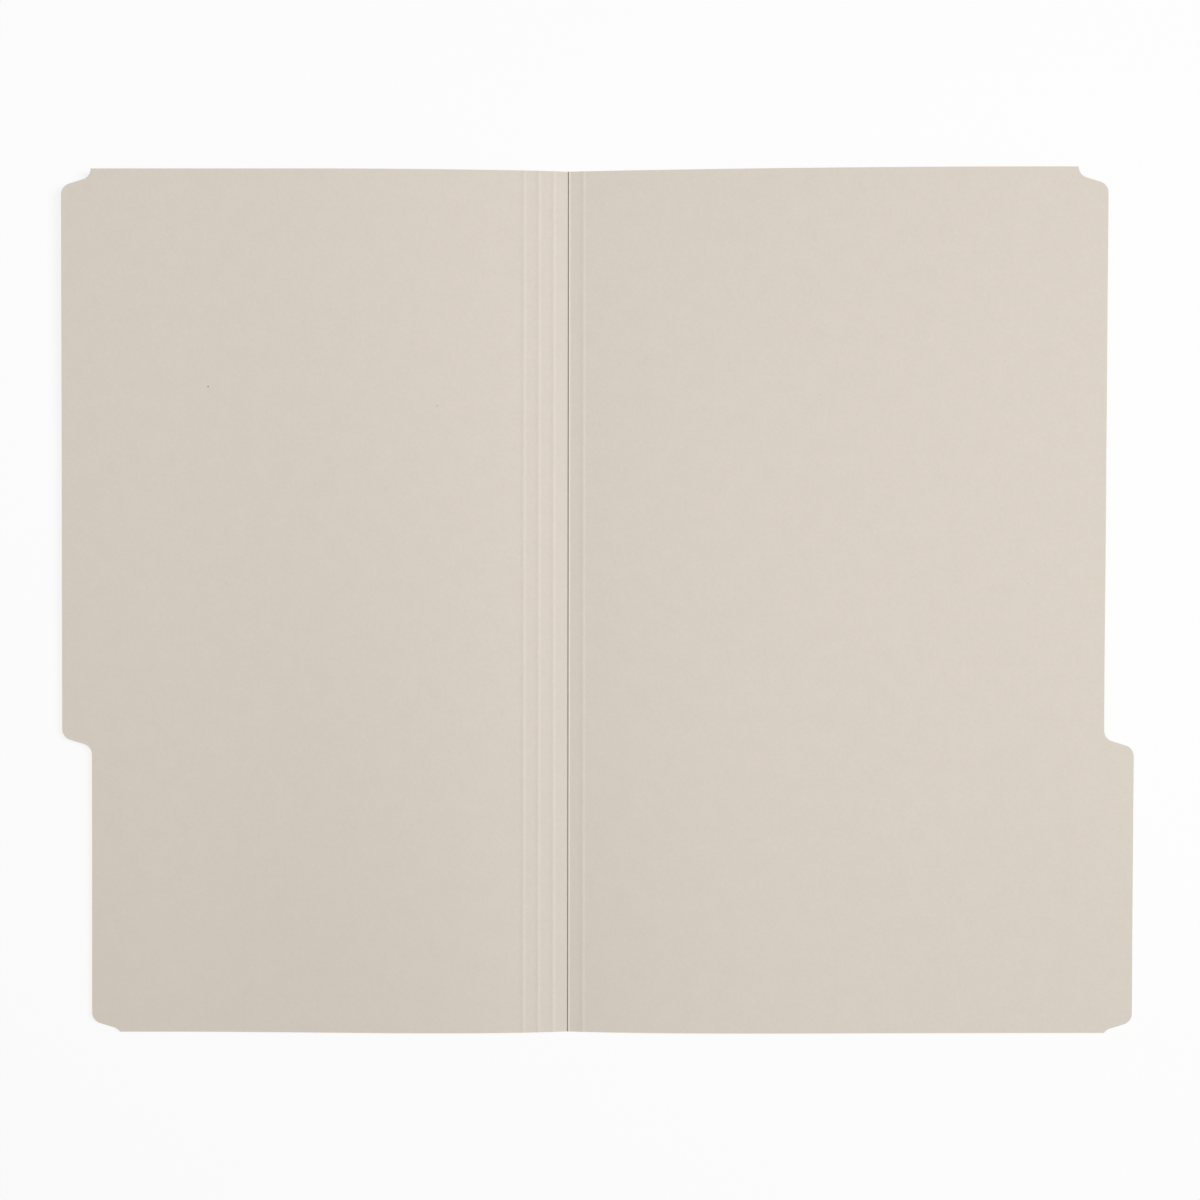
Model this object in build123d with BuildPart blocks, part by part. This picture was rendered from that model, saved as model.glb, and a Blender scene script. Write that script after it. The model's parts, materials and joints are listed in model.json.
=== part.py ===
"""Legal-size manila folder, one third cut, lying open with its inside up.

The folder is one die-cut sheet of card. Its creases part it into two covers and four narrow gusset
strips, and each of these is a rigid facet that turns about the bead pressed along its crease.

X runs across the fold, from the front cover (-X) to the back cover with its tab (+X).
Y runs along the fold, with the tab at the -Y end. Z is up, away from the table at Z = 0.
The origin is the middle of the main fold, on the table.
"""

import math
import os

from build123d import *

os.makedirs("parts", exist_ok=True)

# Driving dimensions, in millimetres and degrees

# Sheet
sheet = 0.28
fold_length = 368.3

# Covers, measured on the flat sheet from the main fold
back_height = 228.6
front_height = 215.9
tab_height = 12.7
notch_depth = 12.7
tab_length = 124.0

# Wavy die line that shapes the tab, the notch and the corners
wave_radius = 4.8
wave_rake = 17.0
corner_step = 12.7
corner_trim = 2.7

# Creases
score_pitch = 6.35
score_axis_depth = 0.08
fold_axis_lift = 0.18
bead_recess = 0.02
hinge_clearance = 0.03

# Angle at which each gusset strip rises from the fold while the folder lies open
back_gusset_rise = 3.0
front_gusset_1_rise = 4.0
front_gusset_2_rise = 3.5
front_gusset_3_rise = 3.0

# Worked-out sizes

wave_turn = 90 - wave_rake
wave_arc_across = wave_radius * (1 - math.cos(math.radians(wave_turn)))
wave_arc_along = wave_radius * math.sin(math.radians(wave_turn))
fold_axis_depth = -fold_axis_lift
front_gusset_rises = (front_gusset_1_rise, front_gusset_2_rise, front_gusset_3_rise)
back_cover_width = back_height - score_pitch
front_cover_width = front_height - score_pitch * len(front_gusset_rises)


def bead_radius(axis_depth):
    """A bead stops just short of the outside face of the sheet."""
    return sheet - axis_depth - bead_recess


def wave_run(step):
    """Straight stretch between the two arcs of a wave that steps sideways."""
    return (step - 2 * wave_arc_across) / math.sin(math.radians(wave_turn))


def wave_length(step):
    """Length that a wave takes along the edge."""
    return 2 * wave_arc_along + wave_run(step) * math.cos(math.radians(wave_turn))


def wave(start, step, turn, heading=90):
    """Draw a wave: an arc, a straight run and an arc that turns back, from heading to heading."""
    lead = (math.cos(math.radians(heading)), math.sin(math.radians(heading)))
    lead_turn = wave_turn - abs(90 - heading)
    first = JernArc(start, lead, wave_radius, turn * lead_turn)
    run = PolarLine(first @ 1, wave_run(step), direction=first % 1)
    last = JernArc(run @ 1, run % 1, wave_radius, -turn * wave_turn)
    return last @ 1


def cover_outline(tab_end, far_end, step):
    """Draw a cover's outline, X outwards from its crease and Y along it, the tab end first.

    tab_end and far_end are the distances of the outer edge from the crease at the two ends, and the
    wave between them steps by step.
    """
    half = fold_length / 2
    left_turn, right_turn = 1, -1
    # The cut across the tab end trims the last wave before it has turned all the way back.
    trim_heading = math.degrees(math.acos(corner_trim / wave_radius))
    trimmed = wave_radius * (1 - math.sin(math.radians(trim_heading)))
    tab_corner = (tab_end - corner_step + trimmed, -half)
    middle = -half + tab_length
    far_corner = (far_end, half - wave_length(corner_step))
    with BuildLine() as outline:
        end_cut = Line((0, -half), tab_corner)
        tab_edge_start = wave(end_cut @ 1, corner_step, right_turn, trim_heading)
        tab_edge = Line(tab_edge_start, (tab_end, middle - wave_length(step) / 2))
        step_turn = right_turn if far_end > tab_end else left_turn
        far_edge_start = wave(tab_edge @ 1, step, step_turn)
        far_edge = Line(far_edge_start, far_corner)
        far_cut_start = wave(far_edge @ 1, corner_step, left_turn)
        Polyline(far_cut_start, (0, half), (0, -half))
    return outline.edges()


def hinge_line(point):
    """Place along Y through a hinge axis given as (x, z)."""
    return Location((point[0], 0, point[1]), (90, 0, 0))


def facet_plane(side, hinge, axis_depth, rise):
    """Plane of a facet's inside face: local X runs outwards from the hinge and local Y along Y.

    side is +1 for the back cover's side of the fold and -1 for the front cover's.
    """
    slope = math.radians(rise)
    outwards = (side * math.cos(slope), 0, math.sin(slope))
    inside = (-side * math.sin(slope), 0, math.cos(slope))
    origin = (hinge[0] + axis_depth * inside[0], 0, hinge[1] + axis_depth * inside[2])
    normal = tuple(side * value for value in inside)
    return Plane(origin=origin, x_dir=outwards, z_dir=normal)


def next_hinge(plane, side):
    """Axis (x, z) of the score at the outer edge of a gusset strip."""
    point = plane.from_local_coords((score_pitch, 0, -side * score_axis_depth))
    return (point.X, point.Z)


def cover_rise(hinge, reach):
    """Slope of a cover whose edge, reach away from its hinge, comes down to the table."""
    return -math.degrees(math.asin((hinge[1] - score_outside) / reach))


back_side, front_side = 1, -1
score_outside = sheet - score_axis_depth
score_bead = bead_radius(score_axis_depth)
fold_bead = bead_radius(fold_axis_depth)
score_socket = score_bead + hinge_clearance
fold_socket = fold_bead + hinge_clearance
main_fold = (0, sheet - fold_axis_depth)


# Back cover and tab, with the bead of the back score

back_gusset_plane = facet_plane(back_side, main_fold, fold_axis_depth, back_gusset_rise)
back_score = next_hinge(back_gusset_plane, back_side)
back_cover_slope = cover_rise(back_score, back_cover_width + tab_height)
back_cover_plane = facet_plane(back_side, back_score, score_axis_depth, back_cover_slope)

with BuildPart() as back_cover:
    with BuildSketch(back_cover_plane):
        make_face(cover_outline(back_cover_width + tab_height, back_cover_width, tab_height))
    extrude(amount=-back_side * sheet)
    with Locations(hinge_line(back_score)):
        Cylinder(score_bead, fold_length)
back_cover.part.label = "back_cover"
export_step(back_cover.part, "parts/back_cover.step")


# Gusset strip on the back cover's side, with the bead of the main fold

with BuildPart() as back_gusset:
    with BuildSketch(back_gusset_plane):
        Rectangle(score_pitch, fold_length, align=(Align.MIN, Align.CENTER))
    extrude(amount=-back_side * sheet)
    with Locations(hinge_line(back_score)):
        Cylinder(score_socket, fold_length, mode=Mode.SUBTRACT)
    with Locations(hinge_line(main_fold)):
        Cylinder(fold_bead, fold_length)
back_gusset.part.label = "back_gusset"
export_step(back_gusset.part, "parts/back_gusset.step")


# Gusset strips on the front cover's side, from the main fold outwards, each with its outer bead

hinge, axis_depth, socket = main_fold, fold_axis_depth, fold_socket
front_scores = []
for number, rise in enumerate(front_gusset_rises, start=1):
    strip_plane = facet_plane(front_side, hinge, axis_depth, rise)
    score = next_hinge(strip_plane, front_side)
    with BuildPart() as front_gusset:
        with BuildSketch(strip_plane):
            Rectangle(score_pitch, fold_length, align=(Align.MIN, Align.CENTER))
        extrude(amount=-front_side * sheet)
        with Locations(hinge_line(hinge)):
            Cylinder(socket, fold_length, mode=Mode.SUBTRACT)
        with Locations(hinge_line(score)):
            Cylinder(score_bead, fold_length)
    front_gusset.part.label = f"front_gusset_{number}"
    export_step(front_gusset.part, f"parts/front_gusset_{number}.step")
    front_scores.append(score)
    hinge, axis_depth, socket = score, score_axis_depth, score_socket


# Front cover, cut back in front of the tab

front_cover_slope = cover_rise(front_scores[-1], front_cover_width)
front_cover_plane = facet_plane(front_side, front_scores[-1], score_axis_depth, front_cover_slope)

with BuildPart() as front_cover:
    with BuildSketch(front_cover_plane):
        make_face(cover_outline(front_cover_width - notch_depth, front_cover_width, notch_depth))
    extrude(amount=-front_side * sheet)
    with Locations(hinge_line(front_scores[-1])):
        Cylinder(score_socket, fold_length, mode=Mode.SUBTRACT)
front_cover.part.label = "front_cover"
export_step(front_cover.part, "parts/front_cover.step")


for name, axis in [("back_score", back_score), ("main_fold", main_fold)]:
    print(f"{name} axis at x {axis[0]:.4f}, z {axis[1]:.4f}")
for number, axis in enumerate(front_scores, start=1):
    print(f"front_score_{number} axis at x {axis[0]:.4f}, z {axis[1]:.4f}")
print(f"back cover slope {back_cover_slope:.4f}, front cover slope {front_cover_slope:.4f}")
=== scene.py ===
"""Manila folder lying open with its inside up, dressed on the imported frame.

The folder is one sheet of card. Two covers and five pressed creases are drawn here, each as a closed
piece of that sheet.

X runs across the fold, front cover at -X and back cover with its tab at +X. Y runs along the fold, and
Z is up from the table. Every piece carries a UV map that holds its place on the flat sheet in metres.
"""

import json
import logging
import math
from dataclasses import dataclass, field, fields
from enum import Enum

import bmesh
import bpy
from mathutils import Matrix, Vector, noise

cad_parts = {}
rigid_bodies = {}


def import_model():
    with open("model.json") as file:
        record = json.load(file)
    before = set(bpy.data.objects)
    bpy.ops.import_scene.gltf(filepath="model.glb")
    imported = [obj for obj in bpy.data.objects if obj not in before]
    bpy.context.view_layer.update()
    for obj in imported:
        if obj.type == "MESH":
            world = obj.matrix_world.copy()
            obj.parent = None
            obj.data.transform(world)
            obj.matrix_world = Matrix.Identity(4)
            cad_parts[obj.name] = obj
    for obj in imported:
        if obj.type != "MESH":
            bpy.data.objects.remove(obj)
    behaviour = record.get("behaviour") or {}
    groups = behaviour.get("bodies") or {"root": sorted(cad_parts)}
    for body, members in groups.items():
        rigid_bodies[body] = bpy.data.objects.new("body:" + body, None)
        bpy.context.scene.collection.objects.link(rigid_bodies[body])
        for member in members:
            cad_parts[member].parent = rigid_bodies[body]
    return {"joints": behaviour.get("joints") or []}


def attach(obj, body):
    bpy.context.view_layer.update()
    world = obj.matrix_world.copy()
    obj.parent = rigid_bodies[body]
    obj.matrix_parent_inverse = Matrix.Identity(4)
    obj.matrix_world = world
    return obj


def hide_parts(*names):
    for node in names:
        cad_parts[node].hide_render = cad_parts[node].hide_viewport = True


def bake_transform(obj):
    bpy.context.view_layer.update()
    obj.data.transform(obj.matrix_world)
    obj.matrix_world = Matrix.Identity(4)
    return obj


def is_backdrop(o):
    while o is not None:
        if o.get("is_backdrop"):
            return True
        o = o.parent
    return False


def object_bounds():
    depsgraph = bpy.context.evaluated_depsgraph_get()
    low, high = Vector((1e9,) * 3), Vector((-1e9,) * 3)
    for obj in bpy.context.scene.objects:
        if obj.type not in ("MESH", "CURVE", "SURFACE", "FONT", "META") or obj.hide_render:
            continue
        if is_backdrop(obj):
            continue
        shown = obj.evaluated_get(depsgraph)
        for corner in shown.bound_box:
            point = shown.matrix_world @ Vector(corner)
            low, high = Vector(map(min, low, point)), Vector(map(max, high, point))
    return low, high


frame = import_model()

LOG = logging.getLogger("manila_folder")
MM = 0.001
SHEET_MAP = "sheet"
MAIN_FOLD = "main_fold"
NUMBER = "NodeSocketFloat"
VECTOR = "NodeSocketVector"
WHITE = (1.0, 1.0, 1.0, 1.0)


class Side(Enum):
    """The two halves of the folder, as the direction in which each leaves the main fold along X."""

    BACK = 1
    FRONT = -1


class Skin(Enum):
    """The two faces of the sheet, as the shift of each on the sheet's own map, in metres."""

    INSIDE = 0.0
    OUTSIDE = 1.0


class NodeBench:
    """Adds nodes to one node tree and wires their inputs."""

    def __init__(self, tree: bpy.types.NodeTree) -> None:
        """Take the tree that the nodes go into."""
        self.tree = tree

    @classmethod
    def emptied(cls, owner: bpy.types.Material | bpy.types.World) -> "NodeBench":
        """Start on the node tree of a new material or world, with its first nodes taken out.

        Args:
            owner: The new material or world.

        Returns:
            A bench on its empty tree.
        """
        owner.use_nodes = True
        owner.node_tree.nodes.clear()
        return cls(owner.node_tree)

    def add(self, kind: str, inputs: dict | None = None, **options: object) -> bpy.types.Node:
        """Add one node.

        Args:
            kind: The node's type name.
            inputs: Sockets to link or plain values, by the input's name or number.
            options: Settings of the node itself.

        Returns:
            The new node.
        """
        node = self.tree.nodes.new(kind)
        for name, value in options.items():
            setattr(node, name, value)
        for key, value in (inputs or {}).items():
            if isinstance(value, bpy.types.NodeSocket):
                self.tree.links.new(value, node.inputs[key])
            else:
                node.inputs[key].default_value = value
        return node

    def math(self, operation: str, *values: object) -> bpy.types.NodeSocket:
        """Add a Math node and return its result."""
        return self.add("ShaderNodeMath", dict(enumerate(values)), operation=operation).outputs[0]

    def vector(self, operation: str, *values: object) -> bpy.types.NodeSocket:
        """Add a Vector Math node on up to two vectors and return the vector it makes."""
        return self.add("ShaderNodeVectorMath", dict(enumerate(values)), operation=operation).outputs[0]

    def scale(self, vector: object, factor: object) -> bpy.types.NodeSocket:
        """Multiply a vector by a number."""
        return self.add("ShaderNodeVectorMath", {0: vector, "Scale": factor}, operation="SCALE").outputs[0]

    def length(self, vector: object) -> bpy.types.NodeSocket:
        """Measure the length of a vector."""
        return self.add("ShaderNodeVectorMath", {0: vector}, operation="LENGTH").outputs["Value"]

    def noise(self, place: object, detail: float = 2.0, roughness: float = 0.5) -> bpy.types.Node:
        """Add flat noise from 0 to 1 with cells that are one unit wide."""
        inputs = {"Vector": place, "Scale": 1.0, "Detail": detail, "Roughness": roughness}
        return self.add("ShaderNodeTexNoise", inputs, noise_dimensions="2D")

    def spread(self, value: object, contrast: float) -> bpy.types.NodeSocket:
        """Spread a value from 0 to 1 evenly to both sides of zero."""
        return self.math("MULTIPLY_ADD", value, contrast, -contrast / 2)

    def ramp(self, value: object, low: float, high: float, start: float, end: float) -> bpy.types.NodeSocket:
        """Map a value from low..high to start..end, smoothly and without passing either end."""
        inputs = {"Value": value, 1: low, 2: high, 3: start, 4: end}
        return self.add("ShaderNodeMapRange", inputs, interpolation_type="SMOOTHSTEP").outputs[0]

    def mix(self, share: object, first: object, second: object) -> bpy.types.NodeSocket:
        """Mix two colours by a share from 0 to 1."""
        node = self.add("ShaderNodeMix", {0: share, 6: first, 7: second}, data_type="RGBA")
        return node.outputs[2]

    def bell(self, distance: object, width: object) -> bpy.types.NodeSocket:
        """Bell curve that is 1 at no distance and fades over the width."""
        ratio = self.math("DIVIDE", distance, width)
        return self.math("EXPONENT", self.math("MULTIPLY", self.math("MULTIPLY", ratio, ratio), -0.5))

    def close(self, result: bpy.types.NodeSocket) -> bpy.types.NodeTree:
        """Put a result out of the tree and return the finished tree."""
        self.add("NodeGroupOutput", {0: result})
        return self.tree


class EffectGroups:
    """Shader node groups that the card's materials share, each a value that changes over the sheet.

    Attributes:
        CLOUD_CONTRAST: How far the clouds' noise is spread about its mean.
        FIBRE_ANGLES: Directions in which the fibres lie, in degrees from the fold.
        FIBRE_CONTRAST: How far the noise of each direction is spread about its mean.
        SMALLEST_SPECK: Radius of the smallest speck, as a share of the given size.
        SPECK_RIM: Shares of its radius between which a speck fades out.
        FLECK_RIM: Shares of its radius, with the ragged noise added, between which a fleck fades out.
        FLECK_LOBES: Lobes of a fleck's ragged outline to each radius.
    """

    CLOUD_CONTRAST = 4.0
    FIBRE_ANGLES = (8.0, 53.0, -37.0, -82.0)
    FIBRE_CONTRAST = 1.39
    SMALLEST_SPECK = 0.25
    SPECK_RIM = (0.4, 1.0)
    FLECK_RIM = (0.8, 1.5)
    FLECK_LOBES = 1.3

    def __init__(self) -> None:
        """Build every group once."""
        self.clouds = self._clouds()
        self.fibres = self._fibres()
        self.specks = self._specks()
        self.pressed_line = self._pressed_line()
        self.fleck = self._fleck()

    @staticmethod
    def _start(
        name: str, output: str, numbers: tuple[str, ...], vectors: tuple[str, ...] = ("Sheet",)
    ) -> tuple[NodeBench, dict[str, bpy.types.NodeSocket]]:
        """Start a group.

        Args:
            name: Name of the group.
            output: Name of the value that the group puts out.
            numbers: Names of its inputs that are numbers.
            vectors: Names of its inputs that are vectors, with the place on the sheet.

        Returns:
            A bench on the group, and its inputs by name.
        """
        tree = bpy.data.node_groups.new(name, "ShaderNodeTree")
        kinds = dict.fromkeys(vectors, VECTOR) | dict.fromkeys(numbers, NUMBER)
        for label, kind in kinds.items():
            tree.interface.new_socket(label, in_out="INPUT", socket_type=kind)
        tree.interface.new_socket(output, in_out="OUTPUT", socket_type=NUMBER)
        bench = NodeBench(tree)
        given = bench.add("NodeGroupInput").outputs
        return bench, {label: given[label] for label in kinds}

    def _clouds(self) -> bpy.types.NodeTree:
        """Uneven formation of the pulp: soft clouds of about the given cell, from -1 to 1.

        Returns:
            The group.
        """
        bench, given = self._start("card_clouds", "Cloud", ("Cell",))
        place = bench.scale(given["Sheet"], bench.math("DIVIDE", 1.0, given["Cell"]))
        clouds = bench.noise(place, detail=4.0, roughness=0.6).outputs[0]
        signed = bench.spread(clouds, self.CLOUD_CONTRAST)
        return bench.close(bench.math("MINIMUM", bench.math("MAXIMUM", signed, -1.0), 1.0))

    def _fibres(self) -> bpy.types.NodeTree:
        """Matted fibres: bent streaks of the given length and width that cross, with 0.5 as the mean.

        Returns:
            The group.
        """
        bench, given = self._start("card_fibres", "Fibre", ("Length", "Width"))
        along = bench.math("DIVIDE", 1.0, given["Length"])
        across = bench.math("DIVIDE", 1.0, given["Width"])
        stretch = bench.add("ShaderNodeCombineXYZ", {0: across, 1: along, 2: 1.0}).outputs[0]
        wander = bench.noise(bench.scale(given["Sheet"], along), detail=1.0).outputs["Color"]
        sway = bench.scale(bench.vector("SUBTRACT", wander, (0.5, 0.5, 0.5)), given["Length"])
        bent = bench.vector("ADD", given["Sheet"], sway)
        # Each direction adds noise with a mean of 0.5, which the first term takes off again.
        total = 0.5 - self.FIBRE_CONTRAST * len(self.FIBRE_ANGLES) / 2
        for angle in self.FIBRE_ANGLES:
            turn = {"Vector": bent, "Angle": math.radians(angle)}
            turned = bench.add("ShaderNodeVectorRotate", turn, rotation_type="Z_AXIS").outputs[0]
            streak = bench.noise(bench.vector("MULTIPLY", turned, stretch)).outputs[0]
            total = bench.math("MULTIPLY_ADD", streak, self.FIBRE_CONTRAST, total)
        return bench.close(total)

    def _specks(self) -> bpy.types.NodeTree:
        """Stray dark specks of bark on the outside face, a share of one to each spacing.

        Returns:
            The group.
        """
        bench, given = self._start("card_specks", "Speck", ("Spacing", "Size", "Share"))
        place = bench.scale(given["Sheet"], bench.math("DIVIDE", 1.0, given["Spacing"]))
        cells = bench.add("ShaderNodeTexVoronoi", {"Vector": place, "Scale": 1.0}, voronoi_dimensions="2D")
        chance = bench.add("ShaderNodeSeparateColor", {0: cells.outputs["Color"]})
        distance = bench.math("MULTIPLY", cells.outputs["Distance"], given["Spacing"])
        size = bench.math("ADD", chance.outputs[1], self.SMALLEST_SPECK)
        radius = bench.math("MULTIPLY", given["Size"], size)
        body = bench.ramp(bench.math("DIVIDE", distance, radius), *self.SPECK_RIM, 1.0, 0.0)
        kept = bench.math("LESS_THAN", chance.outputs[0], given["Share"])
        across = bench.add("ShaderNodeSeparateXYZ", {0: given["Sheet"]}).outputs[0]
        outside = bench.math("GREATER_THAN", across, (Skin.INSIDE.value + Skin.OUTSIDE.value) / 2)
        return bench.close(bench.math("MULTIPLY", body, bench.math("MULTIPLY", kept, outside)))

    def _pressed_line(self) -> bpy.types.NodeTree:
        """Mask of painted shade down a crease: a line at the given place across the sheet, fading over its
        width.

        Returns:
            The group.
        """
        bench, given = self._start("pressed_line", "Mask", ("Place", "Width"))
        across = bench.add("ShaderNodeSeparateXYZ", {0: given["Sheet"]}).outputs[0]
        return bench.close(bench.bell(bench.math("SUBTRACT", across, given["Place"]), given["Width"]))

    def _fleck(self) -> bpy.types.NodeTree:
        """One fleck with a ragged outline at a given place on the sheet.

        Returns:
            The group.
        """
        bench, given = self._start("card_fleck", "Mask", ("Radius", "Depth"), ("Sheet", "Place"))
        away = bench.vector("SUBTRACT", given["Sheet"], given["Place"])
        lobes = bench.math("DIVIDE", self.FLECK_LOBES, given["Radius"])
        ragged = bench.noise(bench.scale(away, lobes)).outputs[0]
        share = bench.math("ADD", bench.math("DIVIDE", bench.length(away), given["Radius"]), ragged)
        body = bench.ramp(share, *self.FLECK_RIM, 1.0, 0.0)
        return bench.close(bench.math("MULTIPLY", body, given["Depth"]))


@dataclass(frozen=True)
class Fleck:
    """One fleck that shows on the inside of the folder.

    Attributes:
        place: Its place on the flat sheet from the middle of the main fold, in metres.
        radius: Its radius, in metres.
        depth: How far it takes on the colour of the specks.
    """

    place: tuple[float, float]
    radius: float
    depth: float


@dataclass(frozen=True)
class CardFinish:
    """Uncoated beige card, as its face or as its cut edge.

    Attributes:
        name: Name of the material.
        shade: Colour where the pulp is thin, linear.
        tint: Colour where the pulp is dense, linear.
        speck: Colour of the specks and flecks, linear.
        crack: Colour of the painted shade down in the main fold's cleft, linear.
        roughness: Roughness of the surface between the fibres.
        fibre_roughness: Roughness that the fibres add.
        cloud_cells: Sizes of the coarse and the fine clouds, in metres.
        cloud_depths: How far each of them moves the colour between shade and tint.
        fibre_size: Length and width of a fibre, in metres.
        fibre_depth: How far the fibres move the colour.
        speck_spacing: Spacing of the cells of the outside face that may hold a speck, in metres.
        speck_size: Measure of a speck's radius, in metres.
        speck_share: Share of the cells that hold one.
        flecks: Flecks of the inside face, each at its own place.
        crack_place: Place of the painted shade line of the main fold across the sheet, in metres.
        crack_width: Width over which that painted shade fades, in metres.
        crack_depth: How far the painted shade darkens the line towards its colour.
        relief: Height of the fibres that catch the light, in metres.
        cloud_relief: Height of the fine clouds, as a share of the fibres' height.
        relief_strength: How strongly that relief turns the light.
        refraction: Index of refraction of the sized surface.
    """

    name: str
    shade: tuple[float, float, float, float]
    tint: tuple[float, float, float, float]
    speck: tuple[float, float, float, float] = (0.16, 0.13, 0.10, 1.0)
    # Painted shade of the main fold's cleft.
    crack: tuple[float, float, float, float] = (0.20, 0.17, 0.14, 1.0)
    roughness: float = 0.84
    fibre_roughness: float = 0.06
    cloud_cells: tuple[float, float] = (9.0 * MM, 1.6 * MM)
    cloud_depths: tuple[float, float] = (0.10, 0.14)
    fibre_size: tuple[float, float] = (1.1 * MM, 0.16 * MM)
    fibre_depth: float = 0.22
    speck_spacing: float = 24.0 * MM
    speck_size: float = 0.26 * MM
    speck_share: float = 0.10
    flecks: tuple[Fleck, ...] = ()
    crack_place: float = 0.14 * MM
    crack_width: float = 0.15 * MM
    crack_depth: float = 0.95
    relief: float = 0.03 * MM
    cloud_relief: float = 0.5
    relief_strength: float = 0.35
    refraction: float = 1.45

    def material(self, groups: EffectGroups) -> bpy.types.Material:
        """Build the material.

        Args:
            groups: The shader groups that the card's finishes share.

        Returns:
            The material, ready to be put in a slot.
        """
        made = bpy.data.materials.new(self.name)
        bench = NodeBench.emptied(made)
        sheet = bench.add("ShaderNodeUVMap", uv_map=SHEET_MAP).outputs[0]

        def effect(tree: bpy.types.NodeTree, **values: object) -> bpy.types.NodeSocket:
            """Place a shared group with its own values and return what it puts out."""
            return bench.add("ShaderNodeGroup", {"Sheet": sheet, **values}, node_tree=tree).outputs[0]

        coarse, fine = (effect(groups.clouds, Cell=cell) for cell in self.cloud_cells)
        fibre = effect(groups.fibres, Length=self.fibre_size[0], Width=self.fibre_size[1])
        speck = effect(
            groups.specks, Spacing=self.speck_spacing, Size=self.speck_size, Share=self.speck_share
        )
        # Mask of the painted shade along the main fold.
        crack = effect(groups.pressed_line, Place=self.crack_place, Width=self.crack_width)
        tone = 0.5
        for pattern, depth in zip((coarse, fine, fibre), (*self.cloud_depths, self.fibre_depth), strict=True):
            tone = bench.math("MULTIPLY_ADD", pattern, depth, tone)
        colour = bench.mix(tone, self.shade, self.tint)
        for fleck in self.flecks:
            mask = effect(groups.fleck, Place=(*fleck.place, 0.0), Radius=fleck.radius, Depth=fleck.depth)
            speck = bench.math("MAXIMUM", speck, mask)
        colour = bench.mix(speck, colour, self.speck)
        # Painted shade: a dark line down the main fold's cleft, mixed into the card's colour.
        colour = bench.mix(bench.math("MULTIPLY", crack, self.crack_depth), colour, self.crack)
        rough = bench.math("MULTIPLY_ADD", fibre, self.fibre_roughness, self.roughness)
        height = bench.math("MULTIPLY_ADD", fine, self.cloud_relief, fibre)
        relief = {"Strength": self.relief_strength, "Distance": self.relief, "Height": height}
        normal = bench.add("ShaderNodeBump", relief).outputs[0]
        surface = bench.add(
            "ShaderNodeBsdfPrincipled",
            {"Base Color": colour, "Roughness": rough, "Normal": normal, "IOR": self.refraction},
        )
        bench.add("ShaderNodeOutputMaterial", {"Surface": surface.outputs[0]})
        return made


@dataclass(frozen=True)
class CardStock:
    """The two materials of the sheet.

    Attributes:
        face: Material of the inside and the outside.
        edge: Material of the cut edge.
    """

    face: bpy.types.Material
    edge: bpy.types.Material

    @classmethod
    def manila(cls) -> "CardStock":
        """Build the beige card with its paler cut edge.

        Returns:
            The stock with both materials.
        """
        groups = EffectGroups()
        flecks = (
            Fleck((-153.4 * MM, 91.5 * MM), 0.50 * MM, 0.90),
            Fleck((-55.7 * MM, 83.4 * MM), 0.42 * MM, 0.45),
            Fleck((185.2 * MM, 102.1 * MM), 0.38 * MM, 0.30),
            Fleck((107.2 * MM, 88.1 * MM), 0.36 * MM, 0.28),
            Fleck((195.9 * MM, 7.9 * MM), 0.38 * MM, 0.26),
            Fleck((93.5 * MM, 161.0 * MM), 0.34 * MM, 0.25),
            Fleck((-145.7 * MM, 7.5 * MM), 0.40 * MM, 0.22),
            Fleck((-199.9 * MM, 33.5 * MM), 0.36 * MM, 0.20),
        )
        face = CardFinish(
            "manila_face", (0.641, 0.579, 0.508, 1.0), (0.720, 0.650, 0.571, 1.0), flecks=flecks
        )
        edge = CardFinish(
            "manila_cut_edge",
            (0.66, 0.60, 0.54, 1.0),
            (0.78, 0.72, 0.65, 1.0),
            roughness=0.92,
            fibre_size=(0.5 * MM, 0.12 * MM),
            fibre_depth=0.4,
            speck_share=0.0,
        )
        return cls(face.material(groups), edge.material(groups))


@dataclass(frozen=True)
class SheetSizes:
    """Sizes of the flat sheet that the frame doesn't give as a box or a joint, in metres and degrees.

    Attributes:
        thickness: Thickness of the card.
        tab_height: How far the tab stands out past the back cover's edge.
        notch_depth: How far the front cover is cut back in front of the tab.
        tab_length: Length of the tab and of the notch, from the end of the fold.
        wave_radius: Radius of the arcs of the wavy die line.
        wave_rake: Angle that its straight run keeps from square to the edge.
        corner_step: Step of the wave at a corner.
        corner_trim: Length that the end cut takes off the corner waves at the tab end.
        score_axis_depth: Depth of a score's hinge axis below the inside face.
        fold_axis_lift: Height of the main fold's hinge axis above the inside face.
        seam: Distance past an outer score at which the cover's own piece starts.
    """

    thickness: float = 0.28 * MM
    tab_height: float = 12.7 * MM
    notch_depth: float = 12.7 * MM
    tab_length: float = 124.0 * MM
    wave_radius: float = 4.8 * MM
    wave_rake: float = 17.0
    corner_step: float = 12.7 * MM
    corner_trim: float = 2.7 * MM
    score_axis_depth: float = 0.08 * MM
    fold_axis_lift: float = 0.18 * MM
    seam: float = 2.2 * MM


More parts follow.
